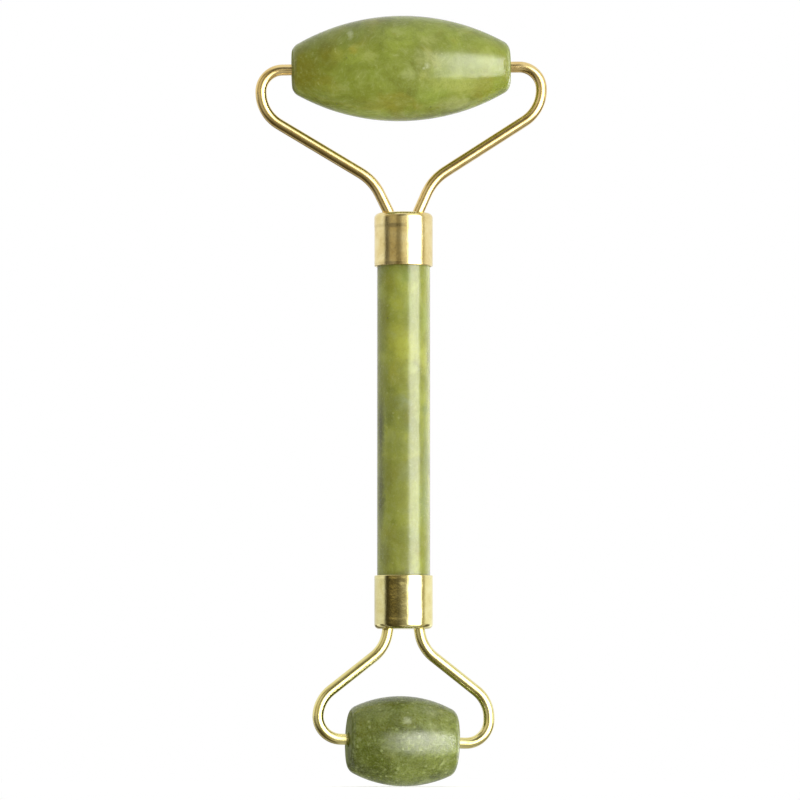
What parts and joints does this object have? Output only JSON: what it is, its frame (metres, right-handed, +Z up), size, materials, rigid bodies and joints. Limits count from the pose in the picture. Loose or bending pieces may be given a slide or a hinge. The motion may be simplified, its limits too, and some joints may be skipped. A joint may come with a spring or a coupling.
{
  "type": "facial roller",
  "caption": "Double-ended jade facial massage roller: a stone handle with a large barrel stone and a small barrel stone, each turning freely in a bent gold-coloured wire yoke.",
  "frame": {"origin": "the middle of the jade handle, on its axis", "axes": "+Z up the handle's axis towards the large stone; +X to the right in the plane of the large yoke; +Y square to that plane, away from the viewer. As glued, the large yoke leans 1.05 degrees to the left in its plane, and the small yoke is turned 5.5 degrees about +Z with its axle dipping 1.8 degrees to the right."},
  "size_m": [0.0551, 0.0198, 0.1452],
  "materials": {
    "handle_jade": "polished",
    "large_jade": "polished",
    "small_jade": "polished",
    "cup_gold": "polished",
    "wire_gold": "polished",
    "nylon": "satin",
    "epoxy": "gloss"
  },
  "bodies": {
    "handle": {"handle_rod": "handle_jade", "large_ferrule": "cup_gold", "small_ferrule": "cup_gold", "large_yoke": "wire_gold", "small_yoke": "wire_gold", "large_adhesive": "epoxy", "small_adhesive": "epoxy"},
    "large_stone": {"large_roller": "large_jade", "large_bush_left": "nylon", "large_bush_right": "nylon"},
    "small_stone": {"small_roller": "small_jade", "small_bush_left": "nylon", "small_bush_right": "nylon"}
  },
  "joints": [
    {"name": "large_roller_spin", "type": "hinge", "parent": "handle", "child": "large_stone", "pos_m": [-0.00051, 0, 0.06661], "axis": [0.9998, 0, 0.0183], "continuous": true},
    {"name": "small_roller_spin", "type": "hinge", "parent": "handle", "child": "small_stone", "pos_m": [0, 0, -0.06018], "axis": [0.9949, 0.0958, -0.0314], "continuous": true}
  ]
}
